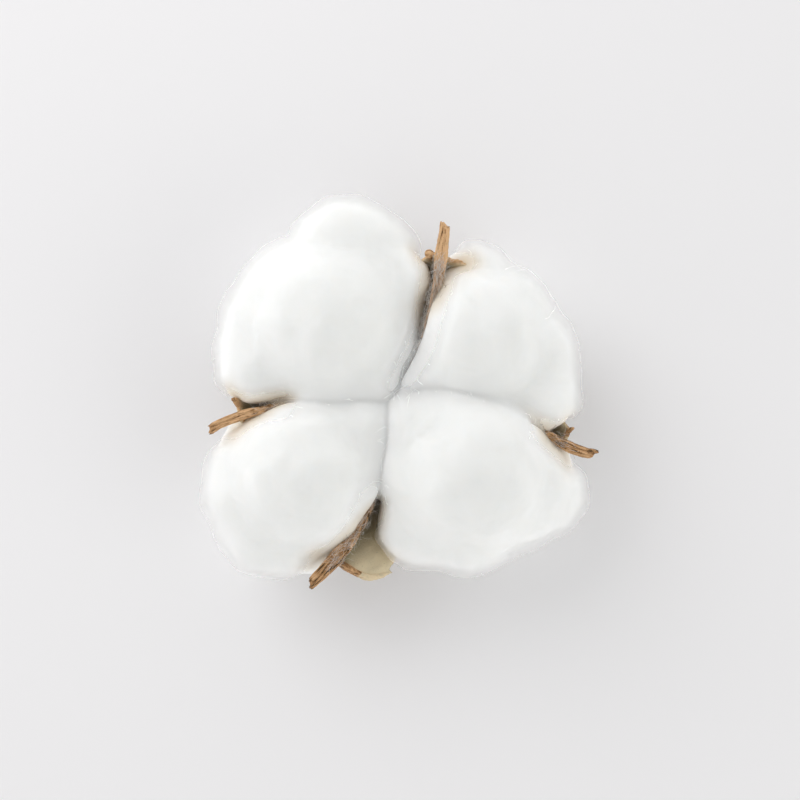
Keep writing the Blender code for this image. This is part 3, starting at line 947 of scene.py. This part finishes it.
def wood_material(name, shades, bump):
    """Shades are dark, brown, tan, cream, and the olive of the painted shade in the hollows."""
    dark, brown, tan, cream, olive = shades
    material, shader, value = new_material(name, 0.75)
    shader.inputs["Specular IOR Level"].default_value = 0.25
    grain = value.node("ShaderNodeAttribute", {"attribute_name": "grain"}, output=1)
    inner, groove, pale, hollow = (
        value.node("ShaderNodeAttribute", {"attribute_name": layer}, output=2)
        for layer in ("inner", "groove", "pale", "hollow")
    )
    stretched = grain.node(
        "ShaderNodeVectorMath", {"operation": "MULTIPLY"}, {0: grain, 1: (0.25, 2.2, 2.2)}
    )
    strands = grain.node(
        "ShaderNodeTexNoise", {}, {"Vector": stretched, "Scale": 1.6, "Detail": 6.0}
    )
    blotch = grain.node("ShaderNodeTexNoise", {}, {"Vector": grain, "Scale": 0.4, "Detail": 3.0})
    speck = grain.node("ShaderNodeTexNoise", {}, {"Vector": grain, "Scale": 4.0, "Detail": 2.0})
    # Painted shade: the tone is darker in the grooves of the wrinkles and on sides that face down
    tone = strands * 1.6 - 0.5 + blotch * 0.7 - 0.2 + pale - groove * 0.6
    stops = [(0.0, dark), (0.3, brown), (0.6, tan), (0.95, tuple(1.15 * part for part in tan))]
    ridge = tone.node("ShaderNodeValToRGB", {"stops": stops}, {0: tone.clamped()})
    wall_tone = (blotch * 1.4 - 0.4 + pale * 0.6).clamped()
    # Painted shade: the inner wall is darkened to olive in the hollows beside the seams
    wall = hollow.mixed(wall_tone.mixed(tuple(0.8 * part for part in cream), cream), olive)
    coloured = inner.mixed(ridge, wall)
    fleck = (speck * 6.0 - 3.9).clamped()
    feed(shader, "Base Color", (fleck * 0.6).mixed(coloured, dark))
    bump_to(shader, strands + speck * 0.4, bump, 0.2 * MM)
    return material


# The last shade, olive, is painted shade in the hollows beside the seams
BARK_SHADES = (
    (0.085, 0.05, 0.022),
    (0.39, 0.21, 0.09),
    (0.68, 0.43, 0.23),
    (0.86, 0.74, 0.50),
    (0.17, 0.15, 0.08),
)
LEAF_SHADES = (
    (0.10, 0.07, 0.04),
    (0.24, 0.17, 0.10),
    (0.40, 0.30, 0.18),
    (0.4, 0.3, 0.2),
    (0.2, 0.15, 0.1),
)
bark = wood_material("bur_bark", BARK_SHADES, 0.7)
leaf = wood_material("calyx_leaf", LEAF_SHADES, 0.4)
print("finishes:", bark.name, leaf.name)

# %% [markdown]
# ## The walls of the bur
#
# The bur keeps its CAD form. Remeshed in small faces, it takes the wrinkles of dried wood: long
# ones along each valve on the outside, shallow ones inside. Its ridges are drawn in a little,
# because strands are laid over them next.

# %% Make the walls
BUR_CELL = 0.42 * MM


def seam_tops(valve_of, share):
    return np.array([seam_height(VALVE_LIST[v], s) for v, s in zip(valve_of, share)])


def wrinkles(along, aside, height, valve_of):
    """Wrinkles at points on the grain, from about -1 to 1, and different on each valve."""
    rows = np.stack([along, aside, height + valve_of * 9.0], axis=1)
    return np.array([noise.fractal(Vector(row), 1.0, 2.0, 4) for row in rows])


def make_bur():
    bur = merged_copy("bur", "bur_walls")
    add_modifier(bur, "REMESH", mode="VOXEL", voxel_size=BUR_CELL, use_smooth_shade=True)
    add_modifier(bur, "SMOOTH", factor=0.4, iterations=2)
    mesh = bur.data
    spots, out = shape_of(mesh)
    valve_of, share, aside, height = seam_places(spots)
    along = share * REACHES[valve_of]
    below_seam = seam_tops(valve_of, share) - height
    # The inner wall faces up, away from the seam's ridge and from the rolled rim
    facing = np.clip(out[:, 2] * 3.0 - 0.3, 0.0, 1.0)
    off_ridge = np.maximum(np.clip((np.abs(aside) - 0.9) / 0.7, 0.0, 1.0),
                           np.clip((below_seam - 1.2) / 0.8, 0.0, 1.0))
    off_rim = np.clip((FORKS[valve_of] * REACHES[valve_of] - along - 0.5) / 1.0, 0.0, 1.0)
    off_rim = np.maximum(off_rim, np.clip((np.abs(aside) - 6.0) / 1.5, 0.0, 1.0))
    flank = np.clip((below_seam - 0.7) / 0.6, 0.0, 1.0) * (np.abs(aside) < 1.6) * (share < 0.86)
    inner = np.maximum(facing * off_ridge * off_rim, flank * 0.9)
    wrinkle = wrinkles(along * 0.16, aside * 0.9, height * 0.5, valve_of)
    depth = np.where(inner > 0.5, 0.10, 0.22) * MM
    on_ridge = (below_seam < 0.9) & (np.abs(aside) < 2.2)
    spots = spots + out * (wrinkle * depth - on_ridge * 0.12 * MM)[:, None]
    move_to(mesh, spots)
    # Painted shade in the grooves of the wrinkles
    groove = np.clip(-wrinkle, 0.0, 1.0)
    # Painted shade: how much the inner wall is darkened to olive in the hollows beside the seams
    hollow = 0.95 * np.exp(-((np.abs(aside) / 2.6) ** 2)) * (share < FORKS[valve_of] - 0.02)
    add_grain(
        mesh, along, aside, height, inner=inner, groove=groove, hollow=hollow, pale=PALE[valve_of]
    )
    finish(bur, bark, "husk", "bur")


make_bur()

# %% [markdown]
# ## Ridges, spikes and rims
#
# A ridge is a bundle of woody strands in two cords, which run on into the two prongs of the
# spike. The rolled rim of each wall is another bundle. Three strands are laid round each cord's
# line and two along each rim, and one remesh fuses them, so that shallow grooves are left between
# them as on the real wood. They break off at uneven lengths.

# %% Paths of the strands
wood_draw = np.random.default_rng(5)
# The last two levels are close together, so that a strand ends blunt
STRAND_STEPS = np.append(np.linspace(0.0, 0.996, STRAND_LEVELS - 1), 1.0)

# The spiral of an ear: the angle where it starts, its turns, and its radius in millimetres
EAR_HEADING, EAR_TURNS, EAR_SIZE = -0.6, 1.5, 0.75


def cord_strand(valve, side, turn, start, end, draw):
    """One strand round a cord of a ridge: its points and radii, in metres."""
    phase = draw.uniform(0.0, 20.0)
    points, radii = [], []
    for part in STRAND_STEPS:
        share = start + (end - start) * part
        radius = cord_radius(valve, min(1.0, share))
        angle = turn + 1.1 * part + 0.6 * noise.noise(Vector((part * 5.0, phase, 0.0)))
        out = 0.46 * radius
        splay = max(0.0, share - 0.95) * 6.0
        aside = side * (CORD_SPACING * radius + splay) + out * math.cos(angle)
        point = seam_plan(valve, share, aside)
        point.z = seam_height(valve, share) + out * math.sin(angle)
        rough = 1.0 + 0.22 * noise.noise(Vector((part * 15.0, phase, 4.0)))
        # Each end is closed in a short blunt taper
        closing = min(1.0, part * 8.0, (1.0 - part) * 22.0 + 0.35)
        points.append(list(point * MM))
        radii.append(0.62 * radius * rough * closing * MM)
    return points, radii


def rim_strand(valve, turn, reach, girth, draw):
    """One strand along the rolled rim of a wall, from ear to ear."""
    phase = draw.uniform(0.0, 20.0)
    points, radii = [], []
    for part in STRAND_STEPS:
        across = (2.0 * part - 1.0) * reach
        held = max(-1.0, min(1.0, across))
        radius = girth * (1.0 - 0.35 * abs(held) ** 1.5)
        angle = turn + 2.4 * part + 0.6 * noise.noise(Vector((part * 4.0, phase, 2.0)))
        point = wall_point(valve, 1.0, held)
        past = Vector()
        if abs(across) > 1.0:
            outward = point - wall_point(valve, 1.0, held * 0.9)
            past = outward.normalized() * (abs(across) - 1.0) * 5.0
        ahead = seam_plan(valve, 1.0) - seam_plan(valve, 0.9)
        ahead.normalize()
        lifted = Vector((0.0, 0.0, math.sin(angle) + past.length * 0.7))
        point = point + past + (ahead * math.cos(angle) * 0.42 * radius) + lifted * 0.42 * radius
        rough = 1.0 + 0.22 * noise.noise(Vector((part * 12.0, phase, 6.0)))
        points.append(list(point * MM))
        closing = min(1.0, part * 14.0 + 0.3, (1.0 - part) * 14.0 + 0.3)
        radii.append(0.6 * radius * rough * closing * MM)
    return points, radii


def rolled_ear(valve):
    """A rim that rolls up at its left ear in a small spiral: its points and radii, in metres."""
    ear = wall_point(valve, 1.0, 1.0)
    points, radii = [], []
    for part in STRAND_STEPS:
        angle = EAR_HEADING + EAR_TURNS * FULL_TURN * part
        out = EAR_SIZE * (1.0 - 0.72 * part)
        point = ear + Vector((math.cos(angle) * out, math.sin(angle) * out, 0.5 + 0.4 * part))
        points.append(list(point * MM))
        radii.append((0.42 - 0.1 * part) * min(1.0, part * 14.0 + 0.3) * MM)
    return points, radii


print("strand levels:", len(STRAND_STEPS))

# %% Fuse the strands
SPIKE_CELL = 0.19 * MM
RIM_REACH = {"east": 1.25, "north": 1.05, "west": 1.22, "south": 1.08}
RIM_GIRTH = {"east": 0.8, "north": 0.8, "west": 0.8, "south": 1.15}


def make_spikes():
    laid = []
    for key, valve in VALVES.items():
        for side in (1, -1):
            for number in range(3):
                turn = FULL_TURN * number / 3.0 + wood_draw.uniform(-0.3, 0.3)
                end = 1.003 - (0.014 if side < 0 else 0.0) - wood_draw.uniform(0.0, 0.02)
                laid.append(cord_strand(valve, side, turn, 0.12, end, wood_draw))
        for turn in (0.4, 0.4 + math.pi):
            laid.append(rim_strand(valve, turn, RIM_REACH[key], RIM_GIRTH[key], wood_draw))
    laid.append(rolled_ear(VALVES["north"]))
    paths = np.array([points for points, _ in laid])
    girths = np.array([radii for _, radii in laid])
    girths[:, 0], girths[:, -1] = 0.0, 0.0
    spikes = mesh_from("spikes", *lay_along(strand_rod, paths, girths))
    add_modifier(spikes, "REMESH", mode="VOXEL", voxel_size=SPIKE_CELL, use_smooth_shade=True)
    add_modifier(spikes, "SMOOTH", factor=0.4, iterations=2)
    mesh = spikes.data
    spots, out = shape_of(mesh)
    valve_of, share, aside, height = seam_places(spots)
    along = share * REACHES[valve_of]
    # Along a rim the grain runs across the valve
    rim = (np.abs(aside) > 1.7) & (share < 0.93)
    grain_along = np.where(rim, aside, along)
    grain_aside = np.where(rim, along, aside)
    long_wrinkle = wrinkles(grain_along * 0.3, grain_aside * 2.4, height * 2.4, valve_of)
    pit = np.array([noise.noise(Vector(spot) / (0.5 * MM)) for spot in spots])
    spots = spots + out * ((long_wrinkle * 0.13 + pit * 0.05) * MM)[:, None]
    move_to(mesh, spots)
    # Painted shade in the grooves and on sides that face down, and a spike darker towards its tip
    near_tip = np.clip((share - 0.965) / 0.03, 0.0, 1.0)
    under = np.clip(0.2 - out[:, 2], 0.0, 1.0) * 0.5
    groove = np.clip(-long_wrinkle * 1.3, 0.0, 1.0) + near_tip * 0.45 + under
    inner = np.where(rim & (np.abs(aside) > 6.0), 0.8, 0.0)
    pale = PALE[valve_of] + 0.1 * (share < 0.8)
    add_grain(mesh, grain_along, grain_aside, height, inner=inner, groove=groove, pale=pale)
    finish(spikes, bark, "husk")
    return spikes


spikes = make_spikes()

# %% [markdown]
# ## Hair on the ridges
#
# Torn ends of hair cling to the ridges in both directions. White ones on dark wood make the grey,
# speckled line that a ridge shows between two locks, and brown ones are splinters of the wood.

# %% Lay the ridge hair
SPLINTER = (0.30, 0.22, 0.15, 1.0)
splinter, splinter_shader, _ = new_material("splinter", 0.8)
splinter_shader.inputs["Base Color"].default_value = SPLINTER

# For each valve: where its hair starts and ends, and how many white and brown hairs it has
RIDGE_HAIR = {
    "east": (0.55, 0.86, 200, 160),
    "north": (0.04, 0.80, 1500, 380),
    "west": (0.40, 0.72, 200, 60),
    "south": (0.36, 0.84, 600, 140),
}
spike_tree = joined_tree([spikes])


def ridge_paths(valve, first, last, count, spread, draw):
    """Short hairs that start on a ridge and lie along it or across it."""
    starts, outs, headings = [], [], []
    for _ in range(count):
        share = draw.uniform(first, last)
        plan = seam_plan(valve, share, draw.normal(0.0, spread))
        above = Vector((plan.x * MM, plan.y * MM, SKY_HIGH))
        spot, normal, _, _ = spike_tree.ray_cast(above, DOWN)
        if spot is None:
            spot, normal, _, _ = spike_tree.find_nearest(
                Vector((plan.x, plan.y, seam_height(valve, share))) * MM
            )
        starts.append(list(spot))
        outs.append(list(normal))
        ahead = seam_plan(valve, share + 0.02) - seam_plan(valve, share)
        headings.append(list(ahead.normalized() * draw.choice([-1.0, 1.0])))
    start, out, heading = np.array(starts), np.array(outs), np.array(headings)
    heading = unit(heading + draw.normal(0.0, 0.55, heading.shape))
    lengths = draw.uniform(1.0, 3.6, count) * MM
    tops = draw.exponential(0.28, count).clip(0.05, 0.9) * MM
    paths = np.empty((count, FIBRE_LEVELS, 3))
    for step in range(FIBRE_LEVELS):
        part = step / (FIBRE_LEVELS - 1)
        lift = math.sin(math.pi * min(1.0, part * 1.25)) * tops + 0.02 * MM
        paths[:, step] = start + heading * (lengths * part)[:, None] + out * lift[:, None]
        heading = unit(heading + draw.normal(0.0, 0.09, heading.shape))
    return paths


def make_ridge_hair(name, column, radius, spread, material, slot):
    draw = np.random.default_rng(31 + column)
    paths = np.concatenate([
        ridge_paths(VALVES[key], row[0], row[1], row[column], spread, draw)
        for key, row in RIDGE_HAIR.items()
    ])
    radii = radius * MM * draw.uniform(0.7, 1.3, len(paths))[:, None] * TAPER
    hair = mesh_from(name, *lay_along(fibre_rod, paths, radii))
    add_warmth(hair.data, coordinates(hair.data), 0.25)
    finish(hair, material, slot)


make_ridge_hair("ridge_lint", 2, 0.02, 0.7, fibre, "lint")
make_ridge_hair("ridge_splinters", 3, 0.022, 0.75, splinter, "husk")

# %% [markdown]
# ## The calyx
#
# The calyx is a papery cup, seen only when the boll is turned over. It keeps its CAD form, with
# fine veins that run out to its rim.

# %% Make the calyx
CALYX_CELL = 0.38 * MM


def make_calyx():
    calyx = merged_copy("calyx", "calyx_cup")
    add_modifier(calyx, "REMESH", mode="VOXEL", voxel_size=CALYX_CELL, use_smooth_shade=True)
    add_modifier(calyx, "SMOOTH", factor=0.4, iterations=2)
    mesh = calyx.data
    spots, out = shape_of(mesh)
    offset = spots - np.array(MIDDLE * MM)
    angle = np.arctan2(offset[:, 1], offset[:, 0])
    reach = np.hypot(offset[:, 0], offset[:, 1]) / MM
    veins = np.abs(np.sin(angle * 12.5)) ** 0.5
    spots = spots + out * ((0.5 - veins) * 0.12 * MM)[:, None]
    move_to(mesh, spots)
    none = np.zeros(len(spots))
    # Painted shade along the sunk veins
    add_grain(mesh, reach, angle * 8.0, spots[:, 2] / MM, inner=none, groove=veins * 0.3, pale=none)
    finish(calyx, leaf, "dry_leaf", "calyx")


make_calyx()

# %% [markdown]
# ## The triangle count
#
# The triangles of all the dressed pieces are counted.

# %% Count the triangles
meshes = [piece for piece in bpy.data.objects if piece.type == "MESH"]
made = [piece for piece in meshes if piece.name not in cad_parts]
print("triangles in all:", sum(triangle_count(piece) for piece in made))
